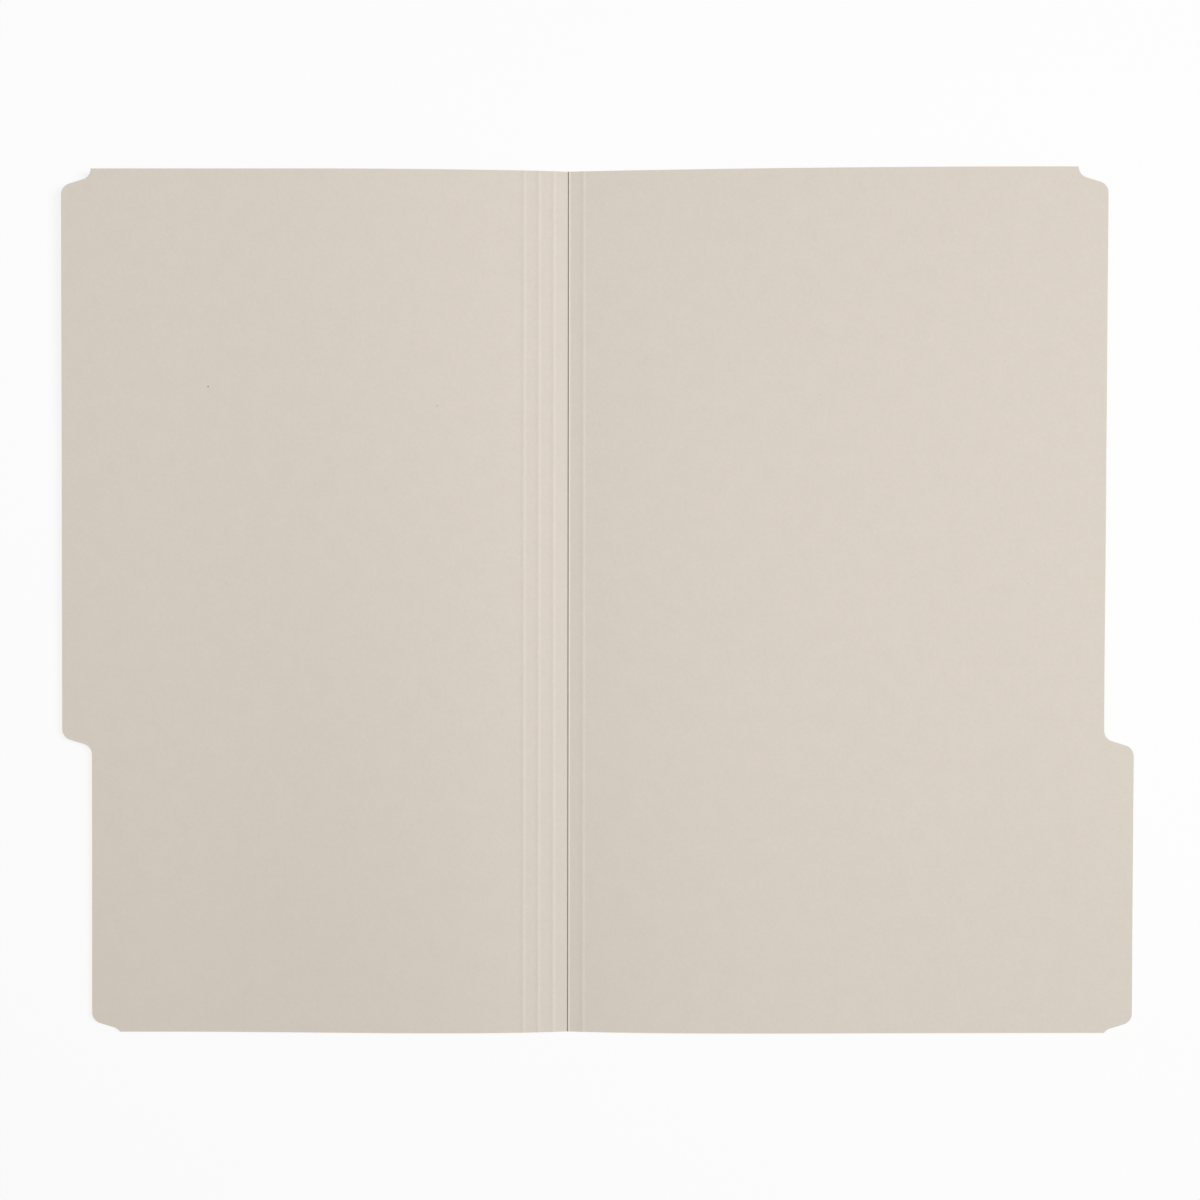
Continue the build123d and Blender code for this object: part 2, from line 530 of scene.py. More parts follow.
@dataclass
class DieLine:
    """Traces a cover's outline as the cutting die runs, with X outwards from the crease and Y along it.

    Attributes:
        sizes: Sizes of the sheet.
        start: First point.
        arc_step: Largest turn between two points of an arc, in degrees.
        points: The outline so far.
    """

    sizes: SheetSizes
    start: Vector
    arc_step: float = 5.0
    points: list[Vector] = field(init=False)

    def __post_init__(self) -> None:
        """Set the die down at the first point."""
        self.points = [self.start.copy()]

    @property
    def swing(self) -> float:
        """Angle that a whole arc of the wave turns through, in degrees."""
        return 90.0 - self.sizes.wave_rake

    def line_to(self, point: Vector) -> None:
        """Cut straight to a point."""
        self.points.append(point.copy())

    def arc(self, heading: float, turn: float) -> float:
        """Cut an arc of the wave.

        Args:
            heading: Direction in which it sets off, in degrees from X.
            turn: Angle that it turns through, to the left if positive.

        Returns:
            The direction at its end.
        """
        left = Vector((-math.sin(math.radians(heading)), math.cos(math.radians(heading))))
        bend = math.copysign(self.sizes.wave_radius, turn)
        centre = self.points[-1] + left * bend
        count = max(1, math.ceil(abs(turn) / self.arc_step))
        for number in range(1, count + 1):
            angle = math.radians(heading + turn * number / count)
            self.points.append(centre + Vector((math.sin(angle), -math.cos(angle))) * bend)
        return heading + turn

    def wave(self, step: float, turn: int, heading: float = 90.0) -> None:
        """Cut a wave: an arc, a straight run and an arc that turns back to run along Y.

        Args:
            step: Sideways step of the whole wave.
            turn: 1 to step to the left of the direction of travel, -1 to step to the right.
            heading: Direction in which the wave sets off, in degrees from X.
        """
        at = self.arc(heading, turn * (self.swing - abs(90.0 - heading)))
        run = Vector((math.cos(math.radians(at)), math.sin(math.radians(at)))) * self.run(step)
        self.line_to(self.points[-1] + run)
        self.arc(at, -turn * self.swing)

    def run(self, step: float) -> float:
        """Length of the straight run inside a wave.

        Args:
            step: Sideways step of the whole wave.

        Returns:
            The length, in metres.
        """
        swing = math.radians(self.swing)
        across = self.sizes.wave_radius * (1 - math.cos(swing))
        return (step - 2 * across) / math.sin(swing)

    def length(self, step: float) -> float:
        """Length that a wave of this step takes along the edge."""
        swing = math.radians(self.swing)
        return 2 * self.sizes.wave_radius * math.sin(swing) + self.run(step) * math.cos(swing)


@dataclass(frozen=True)
class Bow:
    """How a cover of the opened folder springs up from the flat plane of its CAD solid.

    Attributes:
        lead: Slope with which it leaves its crease.
        reach: Distance over which that slope fades, in metres.
        fall: Height that it loses again on the way out, in metres.
        landing: Distance at which it has lost it, in metres.
        twist: Height that the far end gains and the tab end loses at the outer edge, in metres.
        lift: Height that both ends gain at the outer edge, in metres.
        twist_reach: Distance over which the twist sets in, in metres.
        twist_fade: Share of the twist that is gone again at the outer edge.
        ripple: Height of the soft unevenness of the card, in metres.
        ripple_size: Size of one swell of it, in metres.
        seed: Picks the swells.
    """

    lead: float
    reach: float
    fall: float
    twist: float
    lift: float
    landing: float = 150.0 * MM
    twist_reach: float = 45.0 * MM
    twist_fade: float = 0.0
    ripple: float = 0.16 * MM
    ripple_size: float = 55.0 * MM
    seed: float = 0.0

    def height(self, distance: float, along: float, width: float, half: float) -> float:
        """Height over the flat plane.

        Args:
            distance: Distance outwards from the crease, in metres.
            along: Place along the fold, in metres.
            width: Width of the cover, in metres.
            half: Half the length of the fold, in metres.

        Returns:
            The height, in metres.
        """
        share = along / half
        down = min(distance / self.landing, 1.0)
        landed = self.fall * down * down * (3 - 2 * down)
        arch = self.lead * self.reach * (1 - math.exp(-distance / self.reach)) - landed
        setting_in = 1 - math.exp(-((distance / self.twist_reach) ** 2))
        kept = setting_in - self.twist_fade * (distance / width) ** 2
        turn = (self.twist * share + self.lift * share * share) * kept
        swell = noise.noise(Vector((distance, along, self.seed)) / self.ripple_size)
        return arch + turn + self.ripple * swell * setting_in


@dataclass
class Cover:
    """One cover of the folder.

    Attributes:
        node: CAD node and body that it stands for.
        side: Half of the folder that it belongs to.
        crease: Point of the inside face at its crease.
        rim: Point of the inside face at its outermost edge.
        step: Step of the edge at the tab's end, outwards if positive, in metres.
        sizes: Sizes of the sheet.
        bow: How it springs up.
        fold_distance: Distance from the main fold to the crease on the flat sheet, in metres.
        half: Half the length of the fold, in metres.
        cell: Size of the mesh's cells, in metres.
        touch: Distance within which two points count as one, in metres.
        sharp: Angle between two faces from which their edge stays sharp, in degrees.
    """

    node: str
    side: Side
    crease: Vector
    rim: Vector
    step: float
    sizes: SheetSizes
    bow: Bow
    fold_distance: float
    half: float
    cell: float = 4.0 * MM
    touch: float = 0.0001 * MM
    sharp: float = 40.0

    @property
    def outwards(self) -> Vector:
        """Direction from the crease to the outer edge, in the flat plane of the cover."""
        return (self.rim - self.crease).normalized()

    @property
    def inside(self) -> Vector:
        """Direction out of the inside face of the flat cover."""
        return self.outwards.cross(Vector((0, 1, 0))) * self.side.value

    @property
    def width(self) -> float:
        """Distance from the crease to the outermost edge."""
        return (self.rim - self.crease).length

    def point(self, distance: float, along: float, depth: float = 0.0) -> Vector:
        """Place of a point of the sprung cover.

        Args:
            distance: Distance outwards from the crease, in metres.
            along: Place along the fold, in metres.
            depth: Depth below the inside face, in metres.

        Returns:
            The point in the frame.
        """
        rise = self.bow.height(distance, along, self.width, self.half) - depth
        return self.crease + self.outwards * distance + Vector((0, along, 0)) + self.inside * rise

    def outline(self) -> list[Vector]:
        """Outline of the cover's piece on the flat sheet, from the seam beside its crease outwards.

        Returns:
            Its corners in order, with X outwards from the crease and Y along it.
        """
        sizes = self.sizes
        tab_end = self.width if self.step > 0 else self.width + self.step
        far_end = tab_end - self.step
        start_heading = math.degrees(math.acos(sizes.corner_trim / sizes.wave_radius))
        trimmed = sizes.wave_radius * (1 - math.sin(math.radians(start_heading)))
        die = DieLine(sizes, Vector((sizes.seam, -self.half)))
        die.line_to(Vector((tab_end - sizes.corner_step + trimmed, -self.half)))
        die.wave(sizes.corner_step, -1, start_heading)
        step = abs(self.step)
        die.line_to(Vector((tab_end, sizes.tab_length - self.half - die.length(step) / 2)))
        die.wave(step, 1 if self.step > 0 else -1)
        die.line_to(Vector((far_end, self.half - die.length(sizes.corner_step))))
        die.wave(sizes.corner_step, 1)
        die.line_to(Vector((sizes.seam, self.half)))
        return die.points

    def flat_mesh(self) -> bmesh.types.BMesh:
        """Flat face of the outline, cut into cells so that it can bend.

        Returns:
            The mesh, for the caller to free.
        """
        flat = bmesh.new()
        flat.faces.new([flat.verts.new((point.x, point.y, 0)) for point in self.outline()])
        across = (Vector((1, 0, 0)), self.sizes.seam, self.width)
        along = (Vector((0, 1, 0)), -self.half, self.half)
        for axis, low, high in (across, along):
            count = math.ceil((high - low) / self.cell)
            for number in range(1, count):
                place = axis * (low + (high - low) * number / count)
                whole = flat.verts[:] + flat.edges[:] + flat.faces[:]
                bmesh.ops.bisect_plane(flat, geom=whole, dist=self.touch, plane_co=place, plane_no=axis)
        # The cells along the die line have more than four corners.
        ragged = [face for face in flat.faces if len(face.verts) > 4]
        bmesh.ops.triangulate(flat, faces=ragged)
        return flat

    def mesh(self, stock: CardStock) -> bpy.types.Mesh:
        """Closed mesh of the sprung cover, with its materials and its place on the sheet.

        Args:
            stock: Materials of the card.

        Returns:
            The mesh.
        """
        flat = self.flat_mesh()
        solid = bmesh.new()
        layer = solid.loops.layers.uv.new(SHEET_MAP)
        skins: dict[Skin, dict[int, bmesh.types.BMVert]] = {}
        flat.verts.index_update()
        for skin, depth in ((Skin.INSIDE, 0.0), (Skin.OUTSIDE, self.sizes.thickness)):
            skins[skin] = {v.index: solid.verts.new(self.point(v.co.x, v.co.y, depth)) for v in flat.verts}
        finishes = [stock.face, stock.edge]

        def add(corners: list[tuple[bmesh.types.BMVert, Skin]], finish: bpy.types.Material) -> None:
            """Add one face of the solid, turned so that it looks outwards.

            Args:
                corners: Points of the flat mesh in order, each with the skin that it is taken on.
                finish: Material of the face.
            """
            turned = corners if self.side is Side.BACK else corners[::-1]
            face = solid.faces.new([skins[skin][vert.index] for vert, skin in turned])
            face.material_index = finishes.index(finish)
            face.smooth = True
            for loop, (vert, skin) in zip(face.loops, turned, strict=True):
                across = self.side.value * (self.fold_distance + vert.co.x)
                loop[layer].uv = (across + skin.value, vert.co.y)

        for face in flat.faces:
            upwards = face.verts[:] if face.normal.z > 0 else face.verts[::-1]
            add([(vert, Skin.INSIDE) for vert in upwards], stock.face)
            add([(vert, Skin.OUTSIDE) for vert in upwards[::-1]], stock.face)
            for first, second in zip(upwards, upwards[1:] + upwards[:1], strict=True):
                edge = flat.edges.get((first, second))
                if len(edge.link_faces) == 1:
                    low, high = Skin.OUTSIDE, Skin.INSIDE
                    cut = max(first.co.x, second.co.x) > self.sizes.seam + self.touch
                    finish = stock.edge if cut else stock.face
                    add([(first, low), (second, low), (second, high), (first, high)], finish)
        solid.normal_update()
        for edge in solid.edges:
            edge.smooth = edge.calc_face_angle(0.0) < math.radians(self.sharp)
        mesh = bpy.data.meshes.new(f"{self.node}_card")
        solid.to_mesh(mesh)
        solid.free()
        flat.free()
        for finish in finishes:
            mesh.materials.append(finish)
        return mesh

    def build(self, stock: CardStock) -> bpy.types.Object:
        """Make the cover and ride it on its body.

        Args:
            stock: Materials of the card.

        Returns:
            The finished object.
        """
        made = set_out(f"{self.node}_card", self.mesh(stock))
        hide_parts(self.node)
        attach(made, self.node)
        report(made)
        return made


@dataclass(frozen=True)
class Press:
    """What the creasing rule leaves along one crease, in metres.

    Attributes:
        bead: Height of the bead on the inside.
        bead_width: Width over which the bead fades towards the back cover.
        bead_lean: How many times that width it fades over towards the front cover.
        bead_place: Place of the bead across the crease, towards the back cover if positive.
        cleft: Depth of the cleft that a sharp fold breaks into the inside face.
        cleft_width: Width over which the cleft fades.
        cleft_place: Place of the cleft across the crease.
        groove: Depth of the groove on the outside.
        groove_width: Width over which the groove fades.
        waver: How far the crease strays from a straight line.
        bend: Half the width of the strip that bends when the crease turns; not used.
    """

    bead: float = 0.084 * MM
    bead_width: float = 0.45 * MM
    bead_lean: float = 1.8
    bead_place: float = 0.24 * MM
    cleft: float = 0.0
    cleft_width: float = 0.10 * MM
    cleft_place: float = 0.14 * MM
    groove: float = 0.07 * MM
    groove_width: float = 0.30 * MM
    waver: float = 0.05 * MM
    bend: float = 0.55 * MM

    def inputs(self) -> dict[str, float]:
        """The sizes that shape the card, all but the bend, by the names of the crease tree's inputs."""
        shaping = [size.name for size in fields(self) if size.name != "bend"]
        return {name.replace("_", " ").title(): getattr(self, name) for name in shaping}


class CreaseTree:
    """Geometry Nodes tree that presses one crease into a closed strip of card.

    Attributes:
        SOCKETS: Names of the tree's inputs, by their type.
        CROWDING: How far the rows crowd towards the crease, from 0 for even rows up to 1.
        STRAYS_PER_METRE: Swells of a crease's stray from a straight line, to each metre.
        SHARP_ANGLE: Angle between two faces from which their edge stays sharp, in degrees.
    """

    SOCKETS = {
        NUMBER: ("Length", "Thickness", "Flat Place", "Seed", *Press().inputs()),
        VECTOR: ("Crease Point", "Front Point", "Back Point"),
        "NodeSocketInt": ("Rows Across", "Rows Along"),
        "NodeSocketMaterial": ("Face", "Edge"),
    }
    CROWDING = 0.82
    STRAYS_PER_METRE = 28.0
    SHARP_ANGLE = 50.0

    def __init__(self) -> None:
        """Build the tree."""
        self.tree = bpy.data.node_groups.new("pressed_crease", "GeometryNodeTree")
        face = self.tree.interface
        for kind, labels in self.SOCKETS.items():
            for label in labels:
                face.new_socket(label, in_out="INPUT", socket_type=kind)
        face.new_socket("Geometry", in_out="OUTPUT", socket_type="NodeSocketGeometry")
        self.bench = NodeBench(self.tree)
        self.given = self.bench.add("NodeGroupInput").outputs
        self._lay_out()

    def _lay_out(self) -> None:
        """Wire the tree: a block of rows, its place on the sheet, the press, and the materials."""
        bench, given = self.bench, self.given
        block = bench.add(
            "GeometryNodeMeshCube",
            {
                "Size": (2.0, 1.0, 1.0),
                "Vertices X": given["Rows Across"],
                "Vertices Y": given["Rows Along"],
                "Vertices Z": 2,
            },
        )
        keep = bench.add("GeometryNodeCaptureAttribute", {0: block.outputs["Mesh"]}, domain="FACE")
        keep.capture_items.new("VECTOR", "Block Normal")
        self.tree.links.new(bench.add("GeometryNodeInputNormal").outputs[0], keep.inputs[1])
        spot = bench.add("ShaderNodeSeparateXYZ", {0: bench.add("GeometryNodeInputPosition").outputs[0]})
        row, along, level = spot.outputs
        # Rows crowd towards the crease, where the card curves most.
        squared = bench.math("MULTIPLY", row, row)
        crowd = bench.math("MULTIPLY_ADD", squared, self.CROWDING, 1 - self.CROWDING)
        spread = bench.math("MULTIPLY", row, crowd)
        in_front = bench.math("LESS_THAN", row, 0.0)
        end = bench.add(
            "GeometryNodeSwitch",
            {0: in_front, 1: given["Back Point"], 2: given["Front Point"]},
            input_type="VECTOR",
        ).outputs[0]
        reach = bench.vector("SUBTRACT", end, given["Crease Point"])
        across = bench.math("MULTIPLY", spread, bench.length(reach))
        out = bench.scale(reach, bench.math("ABSOLUTE", spread))
        line = bench.vector("ADD", given["Crease Point"], out)
        sheet_y = bench.math("MULTIPLY", along, given["Length"])
        on_top = bench.math("GREATER_THAN", level, 0.0)
        stored = self._store_place(keep.outputs[0], across, sheet_y, on_top)
        lift = self._press(across, sheet_y, on_top)
        offset = bench.add("ShaderNodeCombineXYZ", {1: sheet_y, 2: lift}).outputs[0]
        shaped = bench.add(
            "GeometryNodeSetPosition", {"Geometry": stored, "Position": bench.vector("ADD", line, offset)}
        ).outputs[0]
        self._finish(shaped, keep.outputs[1])

    def _store_place(
        self,
        block: bpy.types.NodeSocket,
        across: bpy.types.NodeSocket,
        along: bpy.types.NodeSocket,
        on_top: bpy.types.NodeSocket,
    ) -> bpy.types.NodeSocket:
        """Store each corner's place on the flat sheet.

        Args:
            block: The block of rows.
            across: Distance across the crease.
            along: Place along the fold.
            on_top: 1 on the inside face and 0 on the outside.

        Returns:
            The block with its map.
        """
        bench = self.bench
        skin = bench.math("MULTIPLY_ADD", on_top, Skin.INSIDE.value - Skin.OUTSIDE.value, Skin.OUTSIDE.value)
        flat = bench.math("ADD", bench.math("ADD", across, self.given["Flat Place"]), skin)
        place = bench.add("ShaderNodeCombineXYZ", {0: flat, 1: along}).outputs[0]
        node = bench.add(
            "GeometryNodeStoreNamedAttribute",
            {"Geometry": block, "Name": SHEET_MAP, "Value": place},
            data_type="FLOAT2",
            domain="CORNER",
        )
        return node.outputs[0]

    def _press(
        self, across: bpy.types.NodeSocket, along: bpy.types.NodeSocket, on_top: bpy.types.NodeSocket
    ) -> bpy.types.NodeSocket:
        """Height of the pressed faces over the strip's straight inside line.

        Args:
            across: Distance across the crease.
            along: Place along the fold.
            on_top: 1 on the inside face and 0 on the outside.

        Returns:
            The height of each point.
        """
        bench, given = self.bench, self.given
        moment = bench.math("MULTIPLY_ADD", along, self.STRAYS_PER_METRE, given["Seed"])
        wander = {"W": moment, "Scale": 1.0, "Detail": 3.0}
        stray = bench.add("ShaderNodeTexNoise", wander, noise_dimensions="1D").outputs[0]
        waver = bench.math("MULTIPLY", bench.spread(stray, 2.0), given["Waver"])
        strayed = bench.math("SUBTRACT", across, waver)

        def mark(name: str, place: object = 0.0, lean: object = 1.0) -> bpy.types.NodeSocket:
            """Bell-shaped mark of the press.

            Args:
                name: Name of the input that holds its height.
                place: Its place across the crease.
                lean: How many times wider it fades towards the front cover.

            Returns:
                The height of the mark at each point.
            """
            distance = bench.math("SUBTRACT", strayed, place)
            in_front = bench.math("LESS_THAN", distance, 0.0)
            wider = bench.math("MULTIPLY_ADD", in_front, bench.math("SUBTRACT", lean, 1.0), 1.0)
            width = bench.math("MULTIPLY", given[f"{name} Width"], wider)
            return bench.math("MULTIPLY", bench.bell(distance, width), given[name])

        bead = mark("Bead", given["Bead Place"], given["Bead Lean"])
        inside = bench.math("SUBTRACT", bead, mark("Cleft", given["Cleft Place"]))
        outside = bench.math("SUBTRACT", mark("Groove"), given["Thickness"])
        step = bench.math("SUBTRACT", inside, outside)
        return bench.math("MULTIPLY_ADD", step, on_top, outside)

    def _finish(self, shaped: bpy.types.NodeSocket, block_normal: bpy.types.NodeSocket) -> None:
        """Smooth the faces, keep the cut edges sharp and give both their materials.

        Args:
            shaped: The pressed strip.
            block_normal: Normals of the faces before they were pressed.
        """
        bench, given = self.bench, self.given
        smooth = bench.add("GeometryNodeSetShadeSmooth", {"Geometry": shaped}, domain="FACE").outputs[0]
        angle = bench.add("GeometryNodeInputMeshEdgeAngle").outputs["Unsigned Angle"]
        corner = bench.math("GREATER_THAN", angle, math.radians(self.SHARP_ANGLE))
        crisp = bench.add(
            "GeometryNodeSetShadeSmooth",
            {"Geometry": smooth, "Selection": corner, "Shade Smooth": False},
            domain="EDGE",
        ).outputs[0]
        real = bench.add("GeometryNodeRealizeInstances", {0: crisp}).outputs[0]
        endwise = bench.add("ShaderNodeSeparateXYZ", {0: block_normal}).outputs[1]
        cut = bench.math("GREATER_THAN", bench.math("ABSOLUTE", endwise), 0.5)
        faced = bench.add("GeometryNodeSetMaterial", {"Geometry": real, "Material": given["Face"]})
        edging = {"Geometry": faced.outputs[0], "Selection": cut, "Material": given["Edge"]}
        bench.close(bench.add("GeometryNodeSetMaterial", edging).outputs[0])

    def press(self, name: str, values: dict[str, object]) -> bpy.types.Object:
        """Make one crease as a plain mesh.

        Args:
            name: Name of the object.
            values: The tree's inputs by their names.

        Returns:
            The object, with no modifier left on it.
        """
        made = set_out(name, bpy.data.meshes.new(f"{name}_rows"))
        modifier = made.modifiers.new("pressed_crease", "NODES")
        modifier.node_group = self.tree
        for socket in self.tree.interface.items_tree:
            if socket.in_out == "INPUT":
                modifier[socket.identifier] = values[socket.name]
        graph = bpy.context.evaluated_depsgraph_get()
        plain = bpy.data.meshes.new_from_object(made.evaluated_get(graph))
        made.modifiers.remove(modifier)
        plain.name = name
        made.data = plain
        return made


@dataclass
class Crease:
    """One pressed crease with the strips of card beside it, halfway to the next creases.

    Attributes:
        joint: The frame's joint that turns about it.
        point: Point of the inside face on the crease.
        front: Point of the inside face at which its piece ends towards the front cover.
        back: Point of the inside face at which its piece ends towards the back cover.
        press: What the creasing rule left.
        flat_place: Place of the crease on the flat sheet, from the main fold, in metres.
        length: Length of the fold, in metres.
        thickness: Thickness of the card, in metres.
        seed: Picks how the crease strays.
        rows: Rows of points across and along the crease.
    """

    joint: dict
    point: Vector
    front: Vector
    back: Vector
    press: Press
    flat_place: float
    length: float
    thickness: float
    seed: float
    rows: tuple[int, int] = (57, 124)

    @property
    def name(self) -> str:
        """Name of the crease's joint, which its piece shares."""
        return self.joint["name"]

    def build(self, tree: CreaseTree, stock: CardStock) -> bpy.types.Object:
        """Press the crease and set it out where its joint lies on the frame.

        Args:
            tree: Tree that presses a crease.
            stock: Materials of the card.

        Returns:
            The finished object.
        """
        values = {
            "Length": self.length,
            "Thickness": self.thickness,
            "Flat Place": self.flat_place,
            "Seed": self.seed,
            "Crease Point": self.point,
            "Front Point": self.front,
            "Back Point": self.back,
            "Rows Across": self.rows[0],
            "Rows Along": self.rows[1],
            "Face": stock.face,
            "Edge": stock.edge,
        }
        made = tree.press(f"{self.name}_card", values | self.press.inputs())
        parent, child = self.joint["parent"], self.joint["child"]
        # A gusset strip has no other piece, and a cover has its own.
        if parent.endswith("_cover"):
            LOG.info("%s lies over part of %s", made.name, parent)
        else:
            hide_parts(parent)
        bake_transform(made)
        report(made)
        return made


@dataclass
class Folder:
    """The whole folder: its creases and covers, placed from the frame.

    Attributes:
        sizes: Sizes of the sheet.
        score: What the rule leaves along a score.
        fold: What folding leaves along the main fold.
        spring: Height that the card springs up by over the frame at each crease, in metres.
        front_bow: How the front cover springs up.
        back_bow: How the back cover springs up.
        seed_step: Step from one crease's seed to the next.
    """

    sizes: SheetSizes = SheetSizes()
    score: Press = Press()
    fold: Press = Press(
        bead=0.24 * MM,
        bead_width=0.24 * MM,
        bead_lean=1.0,
        bead_place=0.34 * MM,
        cleft=0.17 * MM,
        groove=0.03 * MM,
        waver=0.04 * MM,
        bend=0.60 * MM,
    )
    spring: dict[str, float] = field(
        default_factory=lambda: {
            "front_score_3": 0.129 * MM,
            "front_score_2": 0.129 * MM,
            "front_score_1": 0.085 * MM,
            MAIN_FOLD: 0.0,
            "back_score": 0.090 * MM,
        }
    )
    front_bow: Bow = Bow(
        lead=0.051,
        reach=85.0 * MM,
        fall=2.45 * MM,
        twist=1.6 * MM,
        lift=0.5 * MM,
        twist_reach=90.0 * MM,
        twist_fade=0.35,
        seed=3.0,
    )
    back_bow: Bow = Bow(
        lead=0.058,
        reach=58.0 * MM,
        fall=0.0,
        twist=2.65 * MM,
        lift=0.2 * MM,
        twist_reach=120.0 * MM,
        seed=11.0,
    )
    seed_step: float = 7.3

    def inside_point(self, joint: dict) -> Vector:
        """Point of the inside face on a crease.

        Args:
            joint: The frame's joint at that crease.

        Returns:
            The point, at the middle of the fold's length.
        """
        name = joint["name"]
        depth = -self.sizes.fold_axis_lift if name == MAIN_FOLD else self.sizes.score_axis_depth
        return Vector(joint["pos_m"]) + Vector((0, 0, depth + self.spring[name]))

    def cover(self, side: Side, crease: Vector, rim: float, fold_distance: float, half: float) -> Cover:
        """Lay out one cover.

        Args:
            side: Half of the folder that it belongs to.
            crease: Point of the inside face at its crease.
            rim: Place of its outermost edge along X, where it comes down to the table, in metres.
            fold_distance: Distance from the main fold to the crease on the flat sheet, in metres.
            half: Half the length of the fold, in metres.

        Returns:
            The cover, not yet made.
        """
        at_back = side is Side.BACK
        return Cover(
            node="back_cover" if at_back else "front_cover",
            side=side,
            crease=crease,
            rim=Vector((rim, 0, self.sizes.thickness)),
            step=self.sizes.tab_height if at_back else -self.sizes.notch_depth,
            sizes=self.sizes,
            bow=self.back_bow if at_back else self.front_bow,
            fold_distance=fold_distance,
            half=half,
        )

    def build(self, stock: CardStock) -> list[bpy.types.Object]:
        """Make every piece.

        Args:
            stock: Materials of the card.

        Returns:
            The pieces, from the front cover to the back cover.
        """
        joints = sorted(frame["joints"], key=lambda joint: joint["pos_m"][0])
        points = [self.inside_point(joint) for joint in joints]
        runs = [0.0]
        for first, second in zip(points, points[1:]):
            runs.append(runs[-1] + (second - first).length)
        main = [joint["name"] for joint in joints].index(MAIN_FOLD)
        places = [run - runs[main] for run in runs]
        low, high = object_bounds()
        half = (high.y - low.y) / 2
        front = self.cover(Side.FRONT, points[0], low.x, -places[0], half)
        back = self.cover(Side.BACK, points[-1], high.x, places[-1], half)
        ends = [front.point(self.sizes.seam, 0.0)]
        ends += [(first + second) / 2 for first, second in zip(points, points[1:])]
        ends.append(back.point(self.sizes.seam, 0.0))
        tree = CreaseTree()
        made = [front.build(stock)]
        for number, joint in enumerate(joints):
            crease = Crease(
                joint=joint,
                point=points[number],
                front=ends[number],
                back=ends[number + 1],
                press=self.fold if number == main else self.score,
                flat_place=places[number],
                length=2 * half,
                thickness=self.sizes.thickness,
                seed=self.seed_step * (number + 1),
            )
            made.append(crease.build(tree, stock))
        made.append(back.build(stock))
        return made


@dataclass(frozen=True)
class Softbox:
    """A large soft light, aimed at the middle of the fold.

    Attributes:
        name: Name of the light.
        azimuth: Direction from which it comes, in degrees from X towards Y.
        elevation: Its height over the table, in degrees.
        distance: Its distance, in metres.
        size: Its level width and its height, in metres.
        share: Share of full light that it would give to the table if it were small.
    """

    name: str
    azimuth: float
    elevation: float
    distance: float
    size: tuple[float, float]
    share: float

    def build(self) -> bpy.types.Object:
        """Make the light and turn it to the folder.

        Returns:
            The light.
        """
        elevation, azimuth = math.radians(self.elevation), math.radians(self.azimuth)
        level = math.cos(elevation)
        towards = Vector((level * math.cos(azimuth), level * math.sin(azimuth), math.sin(elevation)))
        lamp = bpy.data.lights.new(self.name, "AREA")
        lamp.shape = "RECTANGLE"
        lamp.size, lamp.size_y = self.size
        lamp.energy = self.share * (math.pi * self.distance) ** 2 / math.sin(elevation)
        made = set_out(self.name, lamp)
        made.location = towards * self.distance
        made.rotation_mode = "QUATERNION"
        made.rotation_quaternion = towards.to_track_quat("Z", "Y")
        made.visible_camera = False
        return made


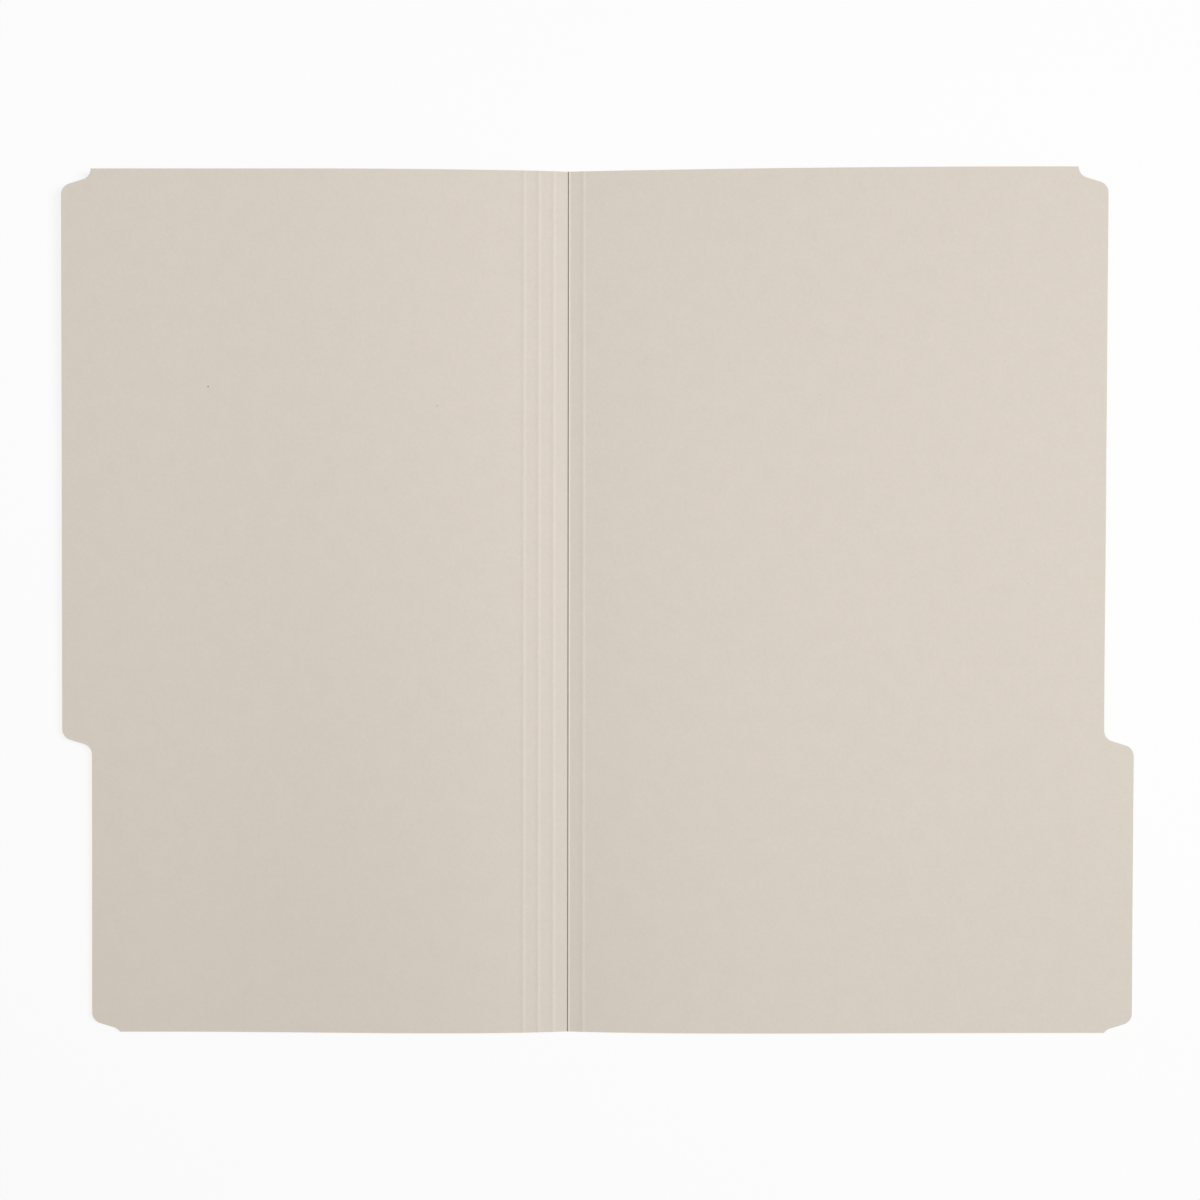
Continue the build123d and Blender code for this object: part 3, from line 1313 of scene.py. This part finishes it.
@dataclass(frozen=True)
class Studio:
    """Pale floor, soft lights and the camera straight above.

    Attributes:
        camera_height: Height of the camera over the table, in metres.
        camera_place: Point of the table under the camera, in metres.
        camera_roll: Turn of the camera about its line of sight, in degrees.
        frame_width: Width of the table that the frame shows, in metres.
        sensor: Width of the camera's sensor, in millimetres.
        softboxes: The soft lights.
        ambient: Share of full light that comes from all round.
        floor_size: Width of the floor, in metres.
        floor_gap: Gap between the floor and the table plane, in metres.
        floor_paint: Colour of the floor, linear.
        floor_white: How much of the floor's look is plain white beside the folder.
        floor_fade: Distances from the folder's middle over which the rest of it fades, in metres.
    """

    camera_height: float = 440.0 * MM
    camera_place: tuple[float, float] = (13.83 * MM, 0.7 * MM)
    camera_roll: float = 0.06
    frame_width: float = 514.4 * MM
    sensor: float = 36.0
    softboxes: tuple[Softbox, ...] = (
        Softbox("side_light", azimuth=6.0, elevation=30.0, distance=4.5, size=(1.6, 1.6), share=0.37),
        Softbox("over_light", azimuth=76.0, elevation=79.0, distance=0.75, size=(1.4, 0.3), share=0.47),
    )
    ambient: float = 0.315
    floor_size: float = 12.0
    floor_gap: float = 0.02 * MM
    floor_paint: tuple[float, float, float, float] = (0.92, 0.92, 0.92, 1.0)
    floor_white: float = 0.80
    floor_fade: tuple[float, float] = (0.45, 1.3)

    def build(self) -> None:
        """Set up the floor, the light, the world and the camera."""
        self.floor()
        for softbox in self.softboxes:
            softbox.build()
        self.world()
        self.camera()
        bpy.context.scene.view_settings.view_transform = "Standard"

    @staticmethod
    def _seen(bench: NodeBench) -> bpy.types.NodeSocket:
        """Mask of the rays that show the background to the camera, straight or by way of gloss or glass.

        Args:
            bench: Bench on the tree of the floor's material or of the world.

        Returns:
            1 for such a ray and 0 for any other.
        """
        path = bench.add("ShaderNodeLightPath").outputs
        gloss = bench.math("MAXIMUM", path["Is Glossy Ray"], path["Is Transmission Ray"])
        return bench.math("MAXIMUM", path["Is Camera Ray"], gloss)

    def floor(self) -> bpy.types.Object:
        """Make the floor, white to the camera but for the folder's shadow.

        Returns:
            The floor.
        """
        reach = self.floor_size / 2
        level = -self.floor_gap
        corners = [(x * reach, y * reach, level) for x, y in ((-1, -1), (1, -1), (1, 1), (-1, 1))]
        mesh = bpy.data.meshes.new("floor")
        mesh.from_pydata(corners, [], [(0, 1, 2, 3)])
        paint = bpy.data.materials.new("floor_white")
        bench = NodeBench.emptied(paint)
        matt = bench.add("ShaderNodeBsdfDiffuse", {"Color": self.floor_paint}).outputs[0]
        white = bench.add("ShaderNodeEmission", {"Color": WHITE, "Strength": 1.0}).outputs[0]
        distance = bench.length(bench.add("ShaderNodeTexCoord").outputs["Object"])
        white_share = bench.ramp(distance, *self.floor_fade, self.floor_white, 1.0)
        share = bench.math("MULTIPLY", self._seen(bench), white_share)
        look = bench.add("ShaderNodeMixShader", {0: share, 1: matt, 2: white}).outputs[0]
        bench.add("ShaderNodeOutputMaterial", {"Surface": look})
        mesh.materials.append(paint)
        made = set_out("floor", mesh)
        made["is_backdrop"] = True
        return made

    def world(self) -> bpy.types.World:
        """Make the even light from all round, white where the camera sees it.

        Returns:
            The world.
        """
        made = bpy.data.worlds.new("studio")
        bench = NodeBench.emptied(made)
        light = bench.add("ShaderNodeBackground", {"Color": WHITE, "Strength": self.ambient}).outputs[0]
        white = bench.add("ShaderNodeBackground", {"Color": WHITE, "Strength": 1.0}).outputs[0]
        look = bench.add("ShaderNodeMixShader", {0: self._seen(bench), 1: light, 2: white}).outputs[0]
        bench.add("ShaderNodeOutputWorld", {"Surface": look})
        bpy.context.scene.world = made
        return made

    def camera(self) -> bpy.types.Object:
        """Make the camera that looks straight down, with the far end of the fold at the top.

        Returns:
            The camera.
        """
        lens = bpy.data.cameras.new("photo_camera")
        lens.sensor_width = self.sensor
        lens.lens = self.sensor * self.camera_height / self.frame_width
        made = set_out("photo_camera", lens)
        made.location = (*self.camera_place, self.camera_height)
        made.rotation_euler = (0.0, 0.0, math.radians(self.camera_roll))
        bpy.context.scene.camera = made
        return made


def set_out(name: str, data: bpy.types.ID) -> bpy.types.Object:
    """Put a new object into the scene.

    Args:
        name: Name of the object.
        data: Its mesh, light or camera.

    Returns:
        The object, at the origin.
    """
    made = bpy.data.objects.new(name, data)
    bpy.context.scene.collection.objects.link(made)
    return made


def report(piece: bpy.types.Object) -> None:
    """Log a finished piece with its size.

    Args:
        piece: The piece.
    """
    low, high = (Vector(piece.bound_box[corner]) for corner in (0, 6))
    span = ", ".join(f"{edge / MM:.2f}" for edge in high - low)
    LOG.info("%s: %d faces, %s mm, lowest %.3f mm", piece.name, len(piece.data.polygons), span, low.z / MM)


def main() -> None:
    """Build the folder and its studio in order."""
    logging.basicConfig(level=logging.INFO, format="%(name)s: %(message)s")
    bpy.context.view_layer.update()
    pieces = Folder().build(CardStock.manila())
    Studio().build()
    bpy.context.view_layer.update()
    LOG.info("%d pieces of card", len(pieces))


if __name__ == "__main__":
    main()
